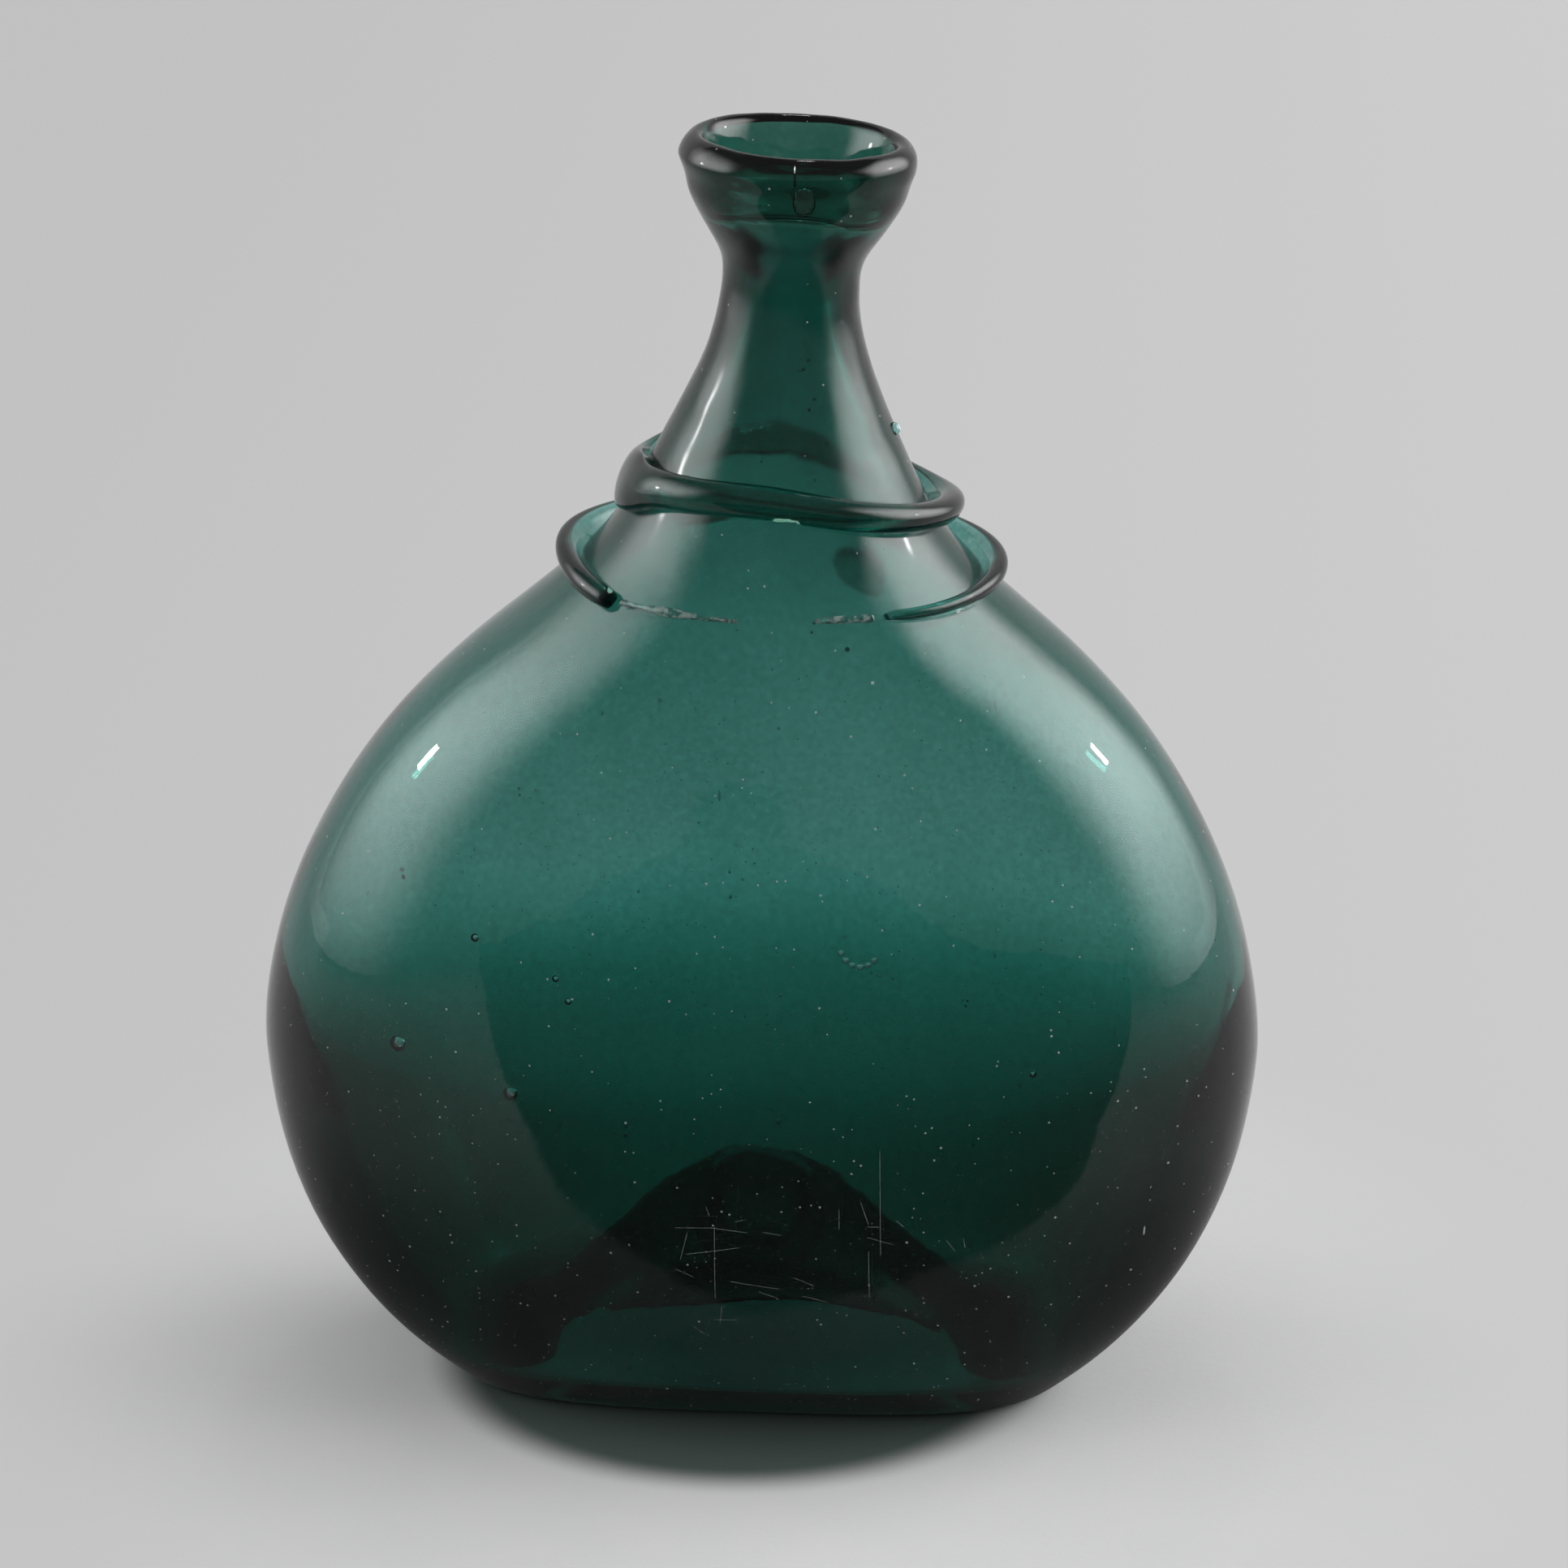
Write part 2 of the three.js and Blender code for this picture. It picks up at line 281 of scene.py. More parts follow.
def addLamp(name, lamp):
    toward = heading(*lamp["heading"])
    turn = toward.to_track_quat("Z", "Y")
    bpy.ops.object.light_add(
        type="AREA", location=aim + toward * lamp["distance"], rotation=turn.to_euler()
    )
    light = bpy.context.object
    light.name = name
    light.data.shape = "RECTANGLE"
    light.data.size, light.data.size_y = lamp["size"]
    light.data.energy = lamp["radiance"] * lamp["size"][0] * lamp["size"][1]
    light.data.spread = math.radians(lamp["spread"])
    light.visible_camera = False
    if "fade" in lamp:
        fadeLamp(light, lamp)


for name, lamp in lamps.items():
    addLamp(name, lamp)


# Surroundings: a dim room, seen as pale paper by the camera and through the glass.
room = {
    "light": (0.34, 0.34, 0.34, 1),
    "mirrored": (0.17, 0.17, 0.17, 1),
    "seen": (0.58, 0.58, 0.58, 1),
}


def fillWorld():
    world = bpy.data.worlds.new("room")
    scene.world = world
    world.use_nodes = True
    shader = Shader(world.node_tree)
    camera, glossy, through = shader.rays("Camera", "Glossy", "Transmission")
    colour = shader.blend(glossy, room["light"], room["mirrored"])
    colour = shader.blend(shader.most(camera, through), colour, room["seen"])
    background = shader.add("ShaderNodeBackground", {}, {"Color": colour, "Strength": 1})
    node = shader.tree.nodes.new("ShaderNodeOutputWorld")
    shader.tree.links.new(background.socket, node.inputs["Surface"])


fillWorld()


# Floor: a paper sweep, with a painted shadow round the foot. In front, the glass mirrors it dimly, as
# painted shade, and darker still inside a wedge with a round tip, a painted shadow. A pair of lengths
# is where a change starts and ends.
paper = {
    "front": -3.2,
    "back": 1.9,
    "width": 7.0,
    "rise": 2.6,
    "curve": 0.9,
    "curveSteps": 24,
    "drop": 0.05 * mm,
    "colour": (0.68, 0.68, 0.68, 1),
    "mottle": (0.665, 0.665, 0.67, 1),
    "mottleNoise": (60, 4, 0.6),
    "mottleBand": (0.3, 0.7),
    "tooth": 0.15 * mm,
    "toothNoise": (900, 3, 0.6),
    "toothStrength": 0.2,
    # Painted shade, seen only in reflections: the paper is dim near the flask, lighter further out, and
    # darkest in the wedge, a painted shadow.
    "mirroredNear": (0.19, 0.19, 0.19, 1),
    "mirroredFar": (0.40, 0.40, 0.40, 1),
    "mirroredReach": (60 * mm, 180 * mm),
    "dark": (0.07, 0.07, 0.07, 1),
    # Painted shadow: inside an ellipse round the foot the paper's colour turns dark green-grey.
    "contactShadow": (0.075, 0.10, 0.09, 1),
    "glow": (0.76, 0.76, 0.76, 1),  # round the foot, seen through the glass
    "glowReach": (230 * mm, 80 * mm),
    "shadeCentre": (-3 * mm, 0),
    "shadeHalf": (41 * mm, 37 * mm),
    "shadeInner": 0.86,  # inner, outer and core are shares of the half sizes
    "shadeOuter": 1.06,
    "shadeCore": -0.6,
    "shadeGlow": 0.6,
    # Painted shade: the far paper is a little darker on the left than on the right.
    "farLeft": (0.535, 0.535, 0.535, 1),
    "farRight": (0.615, 0.615, 0.615, 1),
    "farBand": (-0.25, 0.25),
    "level": (-0.6, -3.2),  # along Y, where the far paper takes the colour of the room
    "aside": (1.0, 3.2),  # the same along X
    "away": (45 * mm, 125 * mm),
    "behind": (-50 * mm, 100 * mm),
    "wedgeTip": (-2 * mm, -36 * mm),
    "wedgeLeft": (-86 * mm, -136 * mm),
    "wedgeRight": (118 * mm, -104 * mm),
    "wedgeRound": 12 * mm,
    "wedgeEdge": (1 * mm, 5 * mm),
    "wedgeRough": 5 * mm,
    "wedgeNoise": (160, 3, 0.6),
}


# How far a point of the floor lies inside one side of the wedge
def wedgeSide(shader, x, y, point, sign):
    tipX, tipY = paper["wedgeTip"]
    run, rise = point[0] - tipX, point[1] - tipY
    length = math.hypot(run, rise)
    return ((x - tipX) * (-rise / length) + (y - tipY) * (run / length)) * sign


def wedgeShadowMask(shader, place, x, y):
    left = wedgeSide(shader, x, y, paper["wedgeLeft"], 1)
    right = wedgeSide(shader, x, y, paper["wedgeRight"], -1)
    values = {0: left, 1: right, 2: paper["wedgeRound"]}
    inside = shader.add("ShaderNodeMath", {"operation": "SMOOTH_MIN"}, values)
    ragged = (shader.noise(place, *paper["wedgeNoise"]) - 0.5) * paper["wedgeRough"]
    return shader.ramp(inside + ragged, *paper["wedgeEdge"])


def paperMaterial():
    material, shader = newMaterial("paper")
    place = shader.place()
    x, y = shader.axis(place, "X"), shader.axis(place, "Y")
    camera, glossy, through = shader.rays("Camera", "Glossy", "Transmission")
    mirrored = glossy * (1 - camera) * (1 - through)
    mottle = shader.ramp(shader.noise(place, *paper["mottleNoise"]), *paper["mottleBand"])
    colour = shader.blend(mottle, paper["colour"], paper["mottle"])
    # Painted shadow: the paper's colour darkens inside the ellipse round the foot.
    fromShade = shader.vectors("SUBTRACT", {0: place, 1: (*paper["shadeCentre"], 0)})
    halfX, halfY = paper["shadeHalf"]
    foot = shader.distance(shader.stretched(fromShade, (1 / halfX, 1 / halfY, 0)))
    clear = shader.ramp(foot, paper["shadeInner"], paper["shadeOuter"])
    colour = shader.blend(clear, paper["contactShadow"], colour)
    # Painted shade in reflections: dim near the flask, and a painted shadow inside the wedge.
    outward = shader.distance(place)
    beyond = shader.ramp(outward, *paper["mirroredReach"])
    mirroredShade = shader.blend(beyond, paper["mirroredNear"], paper["mirroredFar"])
    mirroredShade = shader.blend(wedgeShadowMask(shader, place, x, y), mirroredShade, paper["dark"])
    tooth = shader.noise(place, *paper["toothNoise"])
    lit = shader.surface(
        {
            "Base Color": shader.blend(mirrored, colour, mirroredShade),
            "Roughness": 0.9,
            "Specular IOR Level": 0.1,
            "Normal": shader.bump(tooth, paper["tooth"], paper["toothStrength"]),
        }
    )
    # Painted shade: the far paper darker on the left, lighter on the right.
    far = shader.blend(shader.ramp(x, *paper["farBand"]), paper["farLeft"], paper["farRight"])
    aside = shader.ramp(abs(x), *paper["aside"])
    level = shader.most(aside, shader.ramp(y, *paper["level"]))
    far = shader.blend(level, far, room["seen"])
    far = shader.blend(through * shader.ramp(outward, *paper["glowReach"]), far, paper["glow"])
    pale = shader.add("ShaderNodeEmission", {}, {"Color": far, "Strength": 1})
    away = shader.ramp(outward, *paper["away"])
    behind = shader.ramp(y, *paper["behind"])
    under = shader.ramp(foot, paper["shadeCore"], 1, 0, paper["shadeGlow"])
    under = shader.most(under, shader.ramp(foot, 1, paper["shadeOuter"]))
    seen = shader.most(camera * away, through * under, glossy * behind * away)
    shader.finish(shader.mixed(seen, lit, pale))
    return material


def layPaper():
    depth = paper["back"] - paper["front"]
    middle = (paper["back"] + paper["front"]) / 2
    bpy.ops.mesh.primitive_plane_add(size=1, location=(0, middle, -paper["drop"]))
    floor = bpy.context.object
    floor.name = "paper_sweep"
    floor.scale = (paper["width"], depth, 1)
    bpy.ops.object.transform_apply(location=True, rotation=True, scale=True)
    bpy.ops.object.mode_set(mode="EDIT")
    bpy.ops.mesh.select_mode(type="EDGE")
    bpy.ops.mesh.select_all(action="DESELECT")
    bpy.ops.object.mode_set(mode="OBJECT")
    for edge in floor.data.edges:
        edge.select = all(floor.data.vertices[v].co.y > paper["back"] - mm for v in edge.vertices)
    bpy.ops.object.mode_set(mode="EDIT")
    bpy.ops.mesh.extrude_region_move(TRANSFORM_OT_translate={"value": (0, 0, paper["rise"])})
    bpy.ops.mesh.select_all(action="DESELECT")
    bpy.ops.object.mode_set(mode="OBJECT")
    for edge in floor.data.edges:
        ends = [floor.data.vertices[v].co for v in edge.vertices]
        edge.select = all(p.y > paper["back"] - mm and p.z < mm for p in ends)
    bpy.ops.object.mode_set(mode="EDIT")
    bpy.ops.mesh.bevel(offset=paper["curve"], segments=paper["curveSteps"])
    bpy.ops.object.mode_set(mode="OBJECT")
    bpy.ops.object.shade_smooth()
    floor.data.materials.append(paperMaterial())


layPaper()
print("lamps and paper set")


# Glass: the colour is in its depth, by absorption. The surface carries a thin film, dust, specks and
# scratches, all at real sizes.
glass = {
    "ior": 1.52,
    "density": 695,
    "absorbed": (0.062, 0.564, 0.512, 1),
    "clear": (1, 1, 1, 1),
    "cordTint": (0.92, 0.96, 0.95, 1),
    "grainTint": (0.80, 0.86, 0.85, 1),
    "lipTint": (0.40, 0.49, 0.43, 1),
    "lipBand": (156 * mm, 162 * mm),
    "streak": 0.35,  # below 1 draws a pattern out along Z
    "swell": 0.35 * mm,
    "ripple": 0.02 * mm,
    "bumpStrength": 0.6,
    "hazeBand": (96 * mm, 122 * mm),
    "hazeSmears": (-0.6, 1),
    "lipLessHaze": 0.6,
    "filmRoughness": 0.32,
}
# What sets one glass apart: waves and dust are shares of the full amount.
bodyFinish = {"waves": 1.0, "dusty": 1.0, "film": 0.25, "gloss": 0.5, "haze": 0.26, "frost": 0}
threadFinish = {"waves": 0.4, "dusty": 0.5, "film": 0.04, "gloss": 0.13, "haze": 0.03, "frost": 0}
brokenFinish = {"waves": 0.4, "dusty": 0.5, "film": 0.1, "gloss": 0.5, "haze": 0.03, "frost": 0.4}
# Noise in the glass: scale, detail and roughness, and the band of it that shows.
patterns = {
    "swell": {"noise": (55, 2, 0.45)},
    "ripple": {"noise": (260, 2, 0.5)},
    "facet": {"noise": (1500, 2, 0.5)},
    "cords": {"noise": (140, 3, 0.6), "band": (0.35, 0.75)},
    "grain": {"noise": (1000, 4, 0.7), "band": (0.38, 0.64)},
    "smears": {"noise": (34, 4, 0.65), "band": (0.35, 0.7)},
    "frost": {"noise": (1400, 3, 0.6), "band": (0.42, 0.58)},
}
# Strewn specks and dust: each sits in a cell, and its radius is a share of the cell.
specks = {"colour": (0.02, 0.03, 0.03, 1), "perMetre": 90, "radius": 0.028, "rare": 0.82}
dust = {
    "colour": (0.50, 0.53, 0.51, 1),
    "cover": 0.50,
    "motes": {"perMetre": 900, "radius": 0.15, "few": 0.84, "many": 0.50},
    "flakes": {"perMetre": 190, "radius": 0.058, "few": 0.95, "many": 0.76},
    "falls": {"perMetre": 330, "radius": 0.08, "few": 0.97, "many": 0.90, "squeeze": 0.16},
    "clean": 115 * mm,
    "dusty": 25 * mm,
}
stones = {  # black specks in the glass: place in the photograph and radius
    "places": [
        (497, 1081, 0.28 * mm),
        (1136, 1583, 0.2 * mm),
        (990, 456, 0.18 * mm),
        (997, 506, 0.2 * mm),
        (938, 570, 0.14 * mm),
        (1010, 560, 0.12 * mm),
        (1000, 780, 0.16 * mm),
        (640, 980, 0.14 * mm),
        (1190, 1240, 0.16 * mm),
        (770, 1400, 0.18 * mm),
    ],
}
scuffs = {  # hairlines: their ends in the photograph
    "halfWidth": 0.04 * mm,
    "cover": 0.34,
    "lines": [
        ((832, 1514), (876, 1514)),
        ((876, 1514), (920, 1520)),
        ((1084, 1420), (1085, 1548)),
        ((1070, 1544), (1071, 1600)),
        ((880, 1512), (881, 1600)),
        ((832, 1564), (854, 1574)),
        ((1104, 1505), (1113, 1513)),
        ((1166, 1530), (1176, 1542)),
        ((1187, 1527), (1189, 1538)),
        ((846, 1546), (912, 1538)),
        ((900, 1580), (960, 1590)),
    ],
    "strewn": 14,
    "area": ((790, 1480), (1110, 1640)),
    "length": (8, 34),
    "lean": 14,
}
breakGlints = {  # painted highlights, pale green patches where the threads broke: place in the photograph and half sizes in millimetres
    "colour": (0.42, 0.85, 0.68, 1),
    "roughness": 0.35,
    "edge": (1, 0.8),
    "places": [("upper_thread", 967, 642, 1.8, 0.6), ("lower_thread", 768, 738, 0.8, 0.35)],
    "lookFrom": 2 * mm,
}
scuffDice = random.Random(5)


def pattern(shader, place, name):
    kind = patterns[name]
    noise = shader.noise(place, *kind["noise"])
    return shader.ramp(noise, *kind["band"]) if "band" in kind else noise


# Small dots of dust, thicker towards the foot. A squeeze below 1 draws them out along Z.
def motes(shader, place, z, kind):
    warped = shader.stretched(place, (1, 1, kind["squeeze"])) if "squeeze" in kind else place
    near = shader.cells(warped, kind["perMetre"])
    draw = shader.cells(warped, kind["perMetre"], "Color")
    chance, size = shader.axis(draw, "X"), shader.axis(draw, "Y")
    limit = shader.ramp(z, dust["dusty"], dust["clean"], kind["many"], kind["few"])
    return (near < size * kind["radius"]) * (chance > limit)


def dustCover(shader, place, z):
    cover = motes(shader, place, z, dust["motes"]) + motes(shader, place, z, dust["flakes"])
    return (cover + motes(shader, place, z, dust["falls"])) * dust["cover"]


# The front face, seen flat: X and Z alone
def flattened(place):
    return Vector((place.x, 0, place.z))


def scratchEnds():
    yield from scuffs["lines"]
    (left, top), (right, foot) = scuffs["area"]
    for _ in range(scuffs["strewn"]):
        x, y = scuffDice.uniform(left, right), scuffDice.uniform(top, foot)
        long = scuffDice.uniform(*scuffs["length"])
        turn = scuffDice.choice((0, 90)) + scuffDice.gauss(0, scuffs["lean"])
        across, down = math.cos(math.radians(turn)), math.sin(math.radians(turn))
        yield (x, y), (x + long * across, y + long * down)


# Hairline scratches low on the front
def scratches(shader, flat):
    lines = 0
    for start, end in scratchEnds():
        first = flattened(onSkin(*start))
        run = flattened(onSkin(*end)) - first
        away = shader.vectors("SUBTRACT", {0: flat, 1: first})
        share = shader.vectors("DOT_PRODUCT", {0: away, 1: run / run.length_squared}, "Value")
        share = shader.add("ShaderNodeClamp", {}, {"Value": share})
        nearest = shader.vectors("SCALE", {0: run, "Scale": share})
        gap = shader.distance(shader.vectors("SUBTRACT", {0: away, 1: nearest}))
        lines = (gap < scuffs["halfWidth"]) + lines
    return lines


def strewnSpecks(shader, place):
    draw = shader.cells(place, specks["perMetre"], "Color")
    near = shader.cells(place, specks["perMetre"]) < specks["radius"]
    return near * (shader.axis(draw, "Z") > specks["rare"])


def placedSpecks(shader, flat):
    cover = 0
    for x, y, radius in stones["places"]:
        away = shader.vectors("SUBTRACT", {0: flat, 1: flattened(onSkin(x, y))})
        cover = (shader.distance(away) < radius) + cover
    return cover


# The point of a piece on the front of the bulb that is nearest to a pixel of the photograph
def nearestOn(piece, x, y):
    before = onSkin(x, y) - sightLine(x, y) * breakGlints["lookFrom"]
    return treeOf(piece).find_nearest(before)[0]


def paintedBreakGlints(shader, flat):
    cover = 0
    rough = pattern(shader, flat, "facet") - 0.5
    for node, x, y, across, up in breakGlints["places"]:
        place = nearestOn(nodes[node], x, y)
        away = shader.vectors("SUBTRACT", {0: flat, 1: flattened(place)})
        away = shader.stretched(away, (1 / (across * mm), 0, 1 / (up * mm)))
        cover = shader.ramp(shader.distance(away) + rough, *breakGlints["edge"]) + cover
    return cover


def glassNormal(shader, place, streaked, waves):
    swell, ripple = pattern(shader, streaked, "swell"), pattern(shader, place, "ripple")
    normal = shader.bump(swell, glass["swell"] * waves, glass["bumpStrength"])
    return shader.bump(ripple, glass["ripple"] * waves, glass["bumpStrength"], normal)


def glassTint(shader, place, streaked, thick):
    cords, grain = pattern(shader, streaked, "cords"), pattern(shader, place, "grain")
    tint = shader.blend(cords, glass["clear"], glass["cordTint"])
    tint = shader.tinted(tint, shader.blend(grain, glass["clear"], glass["grainTint"]))
    return shader.tinted(tint, shader.blend(thick, glass["clear"], glass["lipTint"]))


# The bulb shows stones and scratches, the threads show where they broke, with painted highlights on the
# breaks
def glassMaterial(name, finish, bodied):
    material, shader = newMaterial(name)
    place = shader.place()
    z = shader.axis(place, "Z")
    front = shader.axis(place, "Y") < 0
    flat = shader.stretched(place, (1, 0, 1))
    streaked = shader.stretched(place, (1, 1, glass["streak"]))
    thick = shader.ramp(z, *glass["lipBand"])
    smears = pattern(shader, streaked, "smears")
    haze = shader.ramp(z, *glass["hazeBand"]) * shader.ramp(smears, *glass["hazeSmears"])
    black = strewnSpecks(shader, place)
    cover = dustCover(shader, place, z) * finish["dusty"]
    if bodied:
        black = shader.most(black, placedSpecks(shader, flat) * front)
        cover = cover + scratches(shader, flat) * front * scuffs["cover"]
    if finish["frost"]:
        cover = cover + pattern(shader, place, "frost") * finish["frost"]
    tint = glassTint(shader, place, streaked, thick)
    body = shader.surface(
        {
            "Base Color": shader.blend(black, tint, specks["colour"]),
            "Roughness": haze * (1 - glass["lipLessHaze"] * thick) * finish["haze"],
            "IOR": glass["ior"],
            "Specular IOR Level": finish["gloss"],
            "Transmission Weight": 1,
            "Coat Weight": smears * finish["film"] * (1 - thick),
            "Coat Roughness": glass["filmRoughness"],
            "Normal": glassNormal(shader, place, streaked, finish["waves"]),
        }
    )
    dirt = shader.surface({"Base Color": dust["colour"], "Roughness": 0.9, "Specular IOR Level": 0.1})
    surface = shader.mixed(shader.ramp(cover, 0, 1), body, dirt)
    if not bodied:
        # Painted highlights: pale green patches on the breaks, mixed over the glass on the front.
        pale = shader.surface({"Base Color": breakGlints["colour"], "Roughness": breakGlints["roughness"]})
        surface = shader.mixed(paintedBreakGlints(shader, flat) * front, surface, pale)
    volume = {"Color": glass["absorbed"], "Density": glass["density"]}
    shader.finish(surface, shader.add("ShaderNodeVolumeAbsorption", {}, volume))
    return material


bodyGlass = glassMaterial("body_glass_material", bodyFinish, True)
threadGlass = glassMaterial("thread_glass_material", threadFinish, False)
brokenGlass = glassMaterial("broken_glass_material", brokenFinish, False)


# Modelling: how a copy of a CAD piece is cleaned up before its smoothing.
cleaning = {"merge": 0.002 * mm, "faceAngle": 70}


def only(piece):
    bpy.ops.object.select_all(action="DESELECT")
    piece.select_set(True)
    bpy.context.view_layer.objects.active = piece


def applied(piece, kind, **settings):
    only(piece)
    modifier = piece.modifiers.new(kind.lower(), kind)
    for name, value in settings.items():
        setattr(modifier, name, value)
    bpy.ops.object.modifier_apply(modifier=modifier.name)


def copyOf(node, name):
    only(nodes[node])
    bpy.ops.object.duplicate()
    piece = bpy.context.object
    piece.name = name
    piece.parent = None
    for key in [k for k in piece.keys() if k.startswith("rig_")]:
        del piece[key]
    piece.data.materials.clear()
    bpy.ops.mesh.customdata_custom_splitnormals_clear()
    bpy.ops.object.mode_set(mode="EDIT")
    bpy.ops.mesh.select_all(action="SELECT")
    bpy.ops.mesh.remove_doubles(threshold=cleaning["merge"])
    angle = math.radians(cleaning["faceAngle"])
    bpy.ops.mesh.tris_convert_to_quads(face_threshold=angle, shape_threshold=math.pi)
    bpy.ops.mesh.normals_make_consistent(inside=False)
    bpy.ops.object.mode_set(mode="OBJECT")
    bpy.ops.object.shade_smooth()
    return piece


def weighed(piece, weigh):
    group = piece.vertex_groups.new(name="weighed")
    for vertex in piece.data.vertices:
        weight = weigh(vertex.co)
        if weight > 0:
            group.add([vertex.index], weight, "REPLACE")
    return group.name


def rise(value, low, high):
    share = min(1, max(0, (value - low) / (high - low)))
    return share * share * (3 - 2 * share)


# Melted on: the side of a piece that faces the body is drawn just under the body's skin. A slump
# above 0 draws the rest of the piece that share of the way too.
def meltInto(piece, body, reach, depth, slump=0):
    tree = treeOf(body)

    def weight(co):
        gap = tree.find_nearest(co)[3]
        if slump:
            return 1 - (1 - slump) * rise(gap, 0, reach)
        return gap < reach

    seat = weighed(piece, weight)
    applied(
        piece,
        "SHRINKWRAP",
        target=body,
        wrap_method="NEAREST_SURFACEPOINT",
        wrap_mode="INSIDE",
        offset=depth,
        vertex_group=seat,
    )
    piece.vertex_groups.clear()


def wavy(piece, name, waves):
    texture = bpy.data.textures.new(name, "CLOUDS")
    texture.noise_scale = waves["size"]
    texture.noise_depth = 1
    where = weighed(piece, lambda co: rise(co.z, *waves["band"]))
    applied(
        piece,
        "DISPLACE",
        texture=texture,
        strength=waves["height"],
        mid_level=waves["middle"],
        direction="NORMAL",
        vertex_group=where,
    )
    piece.vertex_groups.clear()


# Bulb and lip: blown in one and fused, so one skin runs over both.
bulb = {
    "levels": 2,
    "lipReach": 0.55 * mm,
    "lipDepth": 0.15 * mm,
    "seam": (157 * mm, 160 * mm, 166 * mm, 168 * mm),
    "lipCentre": 5.2 * mm,
    "lipHalf": (15.4 * mm, 13.2 * mm),
    "midWall": (0.57, 0.87),
    "midWallBand": (155 * mm, 165 * mm),
    "smoothing": {"factor": 0.5, "iterations": 120},
}
bodyWaves = {"size": 26 * mm, "height": 0.25 * mm, "middle": 0.8, "band": (-1, 0)}
neckWaves = {"size": 7 * mm, "height": 0.34 * mm, "middle": 0.8, "band": (100 * mm, 128 * mm)}


# How much a point belongs to the band on the outside where the lip was turned over
def onSeam(co):
    low, lowEnd, highEnd, high = bulb["seam"]
    halfX, halfY = bulb["lipHalf"]
    inner, outer = bulb["midWall"]
    middle = inner + (outer - inner) * rise(co.z, *bulb["midWallBand"])
    out = math.hypot((co.x - bulb["lipCentre"]) / halfX, co.y / halfY) > middle
    return rise(co.z, low, lowEnd) * rise(-co.z, -high, -highEnd) * out


flask = copyOf("blown_bulb", "bulb_and_lip")
lip = copyOf("folded_lip", "lip_part")
for part in (flask, lip):
    applied(part, "SUBSURF", levels=bulb["levels"], render_levels=bulb["levels"])
meltInto(lip, flask, bulb["lipReach"], bulb["lipDepth"])
applied(flask, "BOOLEAN", operation="UNION", object=lip, solver="EXACT")
bpy.data.objects.remove(lip)
applied(flask, "SMOOTH", **bulb["smoothing"], vertex_group=weighed(flask, onSeam))
flask.vertex_groups.clear()
wavy(flask, "body_waves", bodyWaves)
wavy(flask, "neck_waves", neckWaves)
print("bulb and lip", len(flask.data.polygons))
bodySkin = treeOf(flask)


# Seeds: bubbles in the wall. Their faces look into the bubble, because the glass is round it.
seeds = {
    "seen": [  # place in the photograph, half sizes across, up and through, in millimetres
        (487, 1287, 1.15, 1.1, 0.7),
        (627, 1349, 0.95, 0.95, 0.6),
        (583, 1156, 0.55, 0.55, 0.45),
        (683, 1207, 0.45, 0.45, 0.4),
        (699, 1235, 0.45, 0.45, 0.35),
        (1274, 1325, 0.45, 0.45, 0.35),
        (1072, 572, 0.45, 0.35, 0.35),
        (1040, 398, 0.3, 0.45, 0.25),
        (986, 456, 0.25, 0.25, 0.2),
        (1041, 1155, 0.3, 0.15, 0.15),
        (1036, 1175, 0.42, 0.42, 0.12),
        (1042, 1184, 0.45, 0.42, 0.12),
        (1050, 1190, 0.45, 0.40, 0.12),
        (1060, 1192, 0.45, 0.40, 0.12),
        (1069, 1190, 0.45, 0.40, 0.12),
        (1077, 1184, 0.42, 0.42, 0.12),
        (1083, 1203, 0.3, 0.15, 0.15),
        (979, 238, 0.2, 3.1, 0.9),  # the crack below the rim, and its flake
        (991, 252, 1.4, 2.0, 0.25),
    ],
    "cover": 0.35 * mm,
    "segments": 20,
    "small": 70,
    "smallHalf": (0.07, 0.24),
    "smallDrawnUp": (1, 2.2),
    "smallSegments": 8,
    "levels": (8 * mm, 140 * mm),
    "flatness": 0.6,
    "lookFrom": 0.2,
}
seedDice = random.Random(17)


def addSeed(place, normal, half, segments):
    turn = normal.to_track_quat("Y", "Z")
    bpy.ops.object.select_all(action="DESELECT")
    bpy.ops.mesh.primitive_uv_sphere_add(
        segments=segments, ring_count=segments // 2, radius=mm, location=place, rotation=turn.to_euler()
    )
    seed = bpy.context.object
    seed.scale = half[0], half[2], half[1]
    bpy.ops.object.transform_apply(location=True, rotation=True, scale=True)
    bpy.ops.object.mode_set(mode="EDIT")
    bpy.ops.mesh.select_all(action="SELECT")
    bpy.ops.mesh.flip_normals()
    bpy.ops.object.mode_set(mode="OBJECT")
    bpy.ops.object.shade_smooth()
    return seed


def seedsSeen():
    for x, y, across, up, through in seeds["seen"]:
        place, normal, *_ = bodySkin.ray_cast(eye, sightLine(x, y))
        depth = seeds["cover"] + through * mm
        yield addSeed(place - normal * depth, normal, (across, up, through), seeds["segments"])


def seedsStrewn():
    for _ in range(seeds["small"]):
        turn, level = seedDice.uniform(0, 2 * math.pi), seedDice.uniform(*seeds["levels"])
        outward = Vector((math.cos(turn), math.sin(turn) * seeds["flatness"], 0)).normalized()
        start = Vector((0, 0, level)) + outward * seeds["lookFrom"]
        place, normal, *_ = bodySkin.ray_cast(start, -outward)
        half = seedDice.uniform(*seeds["smallHalf"])
        size = half, half * seedDice.uniform(*seeds["smallDrawnUp"]), half
        depth = seeds["cover"] + half * mm
        if place:
            yield addSeed(place - normal * depth, normal, size, seeds["smallSegments"])


def joined(piece, others):
    only(piece)
    for other in others:
        other.select_set(True)
    bpy.ops.object.join()


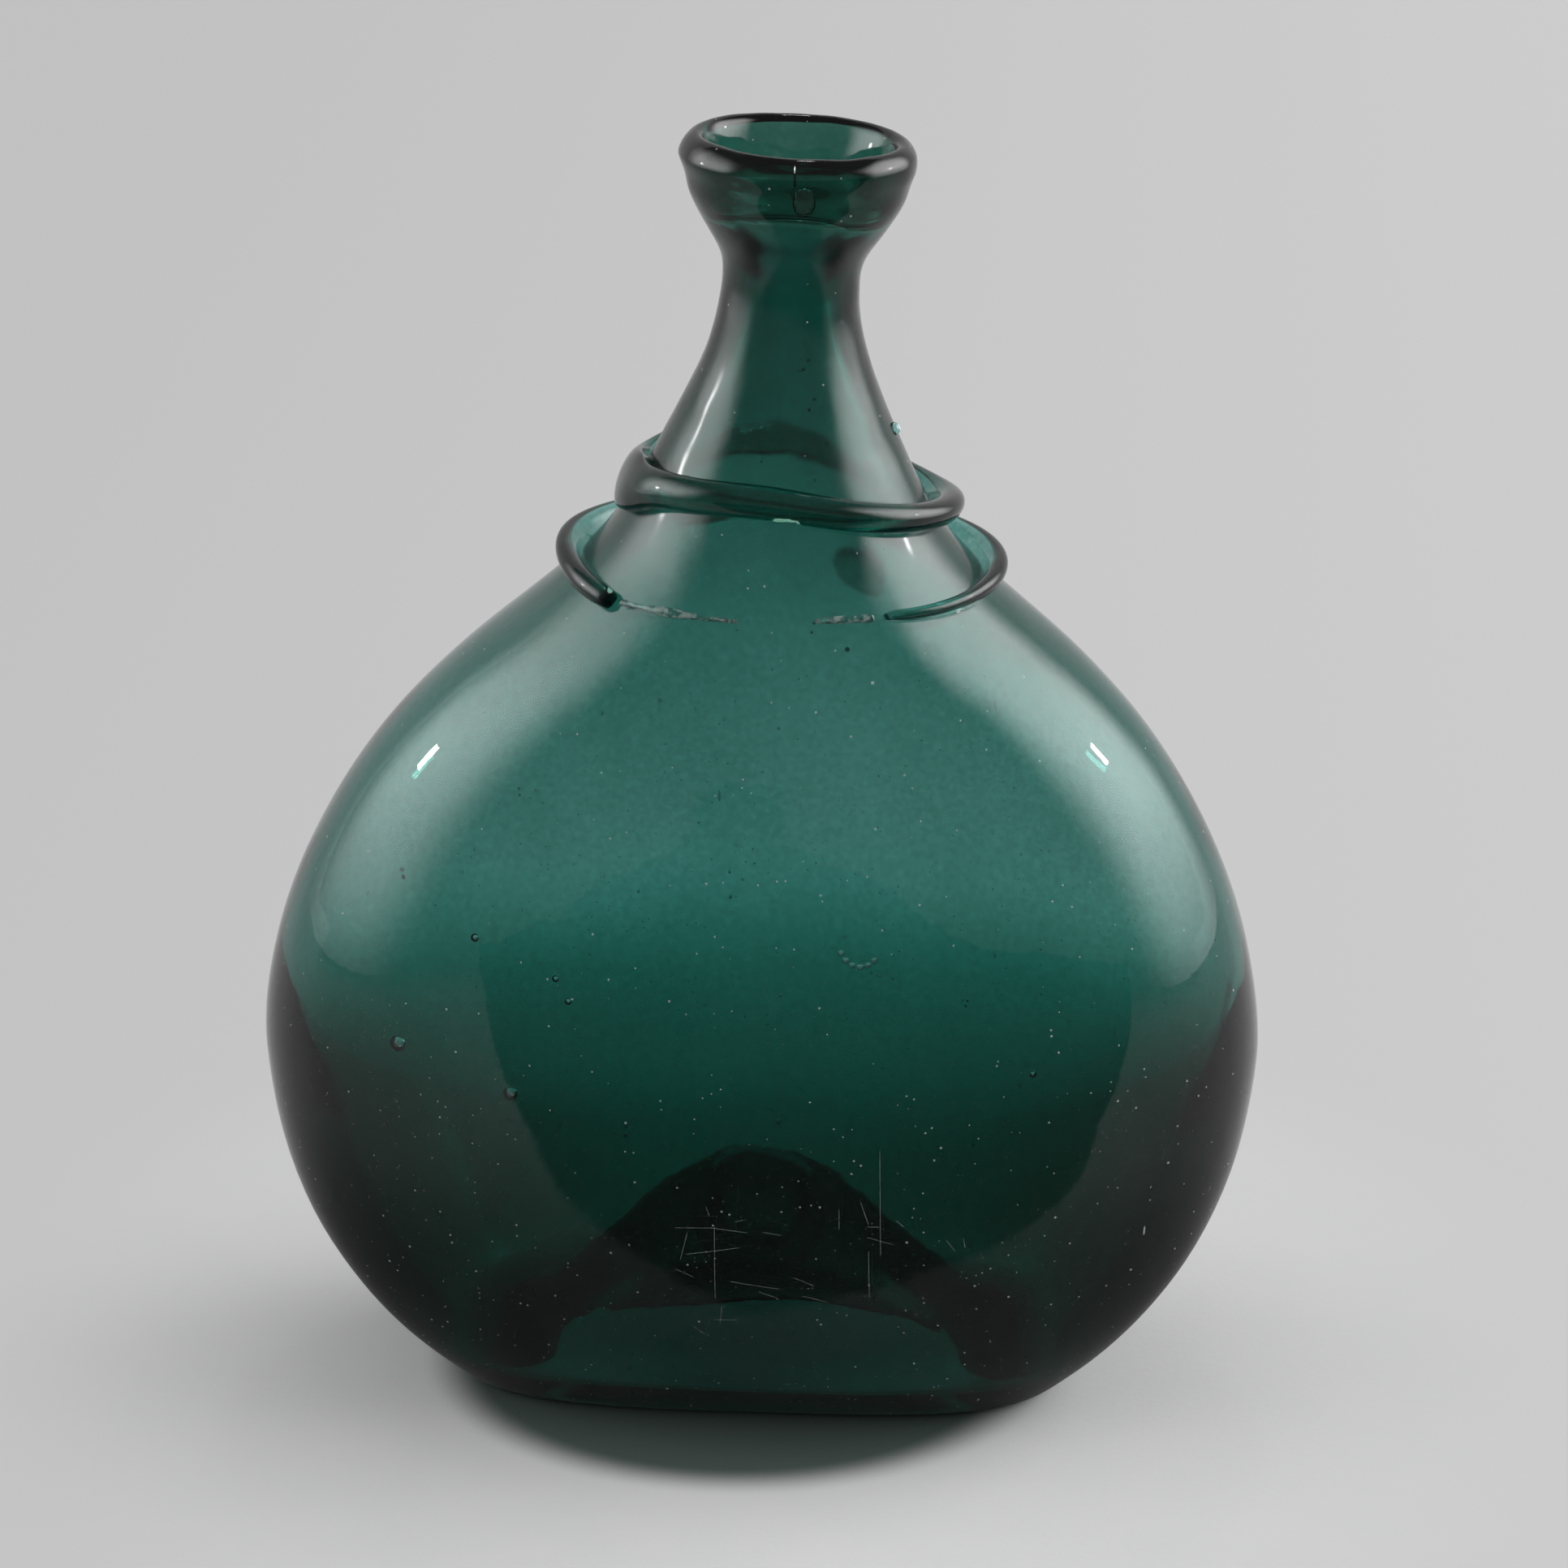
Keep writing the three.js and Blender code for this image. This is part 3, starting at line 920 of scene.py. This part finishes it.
joined(flask, [*seedsSeen(), *seedsStrewn()])
flask.data.materials.clear()
flask.data.materials.append(bodyGlass)
only(flask)
bpy.ops.object.shade_smooth()
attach(flask, "root")
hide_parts("blown_bulb", "folded_lip")
print("seeds", len(flask.data.polygons))


# Threads, slivers, drops and the pontil ring.
trails = {
    "upper_thread": {"name": "upper_trail", "reach": 1.0, "glass": threadGlass},
    "lower_thread": {"name": "lower_trail", "reach": 0.95, "glass": threadGlass},
    "left_sliver": {"name": "left_stub", "reach": 0.8, "glass": brokenGlass},
    "right_sliver": {"name": "right_stub", "reach": 0.85, "glass": brokenGlass},
    "shoulder_drop": {"name": "back_drop", "reach": 0.9, "glass": threadGlass},
    "neck_bead": {"name": "neck_seed", "reach": 1.5, "slump": 0.5, "glass": threadGlass},
    "pontil_scar": {"name": "pontil_ring", "reach": 0.8, "glass": threadGlass},
}
trailShape = {"levels": 2, "depth": 0.08 * mm, "sharpFrom": 24}
chip = {  # where glass broke out of a thread: the place in the photograph, and the hollow left there
    "node": "upper_thread",
    "at": (967, 650),
    "half": (2.1, 1.0, 0.65),
    "turns": (0, math.radians(10), 0.4),
}


# A break: a faceted hollow in the side of a piece that faces the viewer
def addChip(piece):
    place = nearestOn(piece, *chip["at"])
    bpy.ops.object.select_all(action="DESELECT")
    bpy.ops.mesh.primitive_ico_sphere_add(
        subdivisions=2, radius=mm, location=place, rotation=chip["turns"]
    )
    hollow = bpy.context.object
    hollow.scale = chip["half"]
    bpy.ops.object.transform_apply(location=True, rotation=True, scale=True)
    applied(piece, "BOOLEAN", operation="DIFFERENCE", object=hollow, solver="EXACT")
    bpy.data.objects.remove(hollow)


def addTrail(node, trail):
    piece = copyOf(node, trail["name"])
    applied(piece, "SUBSURF", levels=trailShape["levels"], render_levels=trailShape["levels"])
    meltInto(piece, flask, trail["reach"] * mm, trailShape["depth"], trail.get("slump", 0))
    if node == chip["node"]:
        addChip(piece)
    only(piece)
    bpy.ops.object.shade_smooth_by_angle(angle=math.radians(trailShape["sharpFrom"]))
    piece.data.materials.clear()
    piece.data.materials.append(trail["glass"])
    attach(piece, "root")
    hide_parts(node)


for node, trail in trails.items():
    addTrail(node, trail)
print("threads and drops", len(trails))
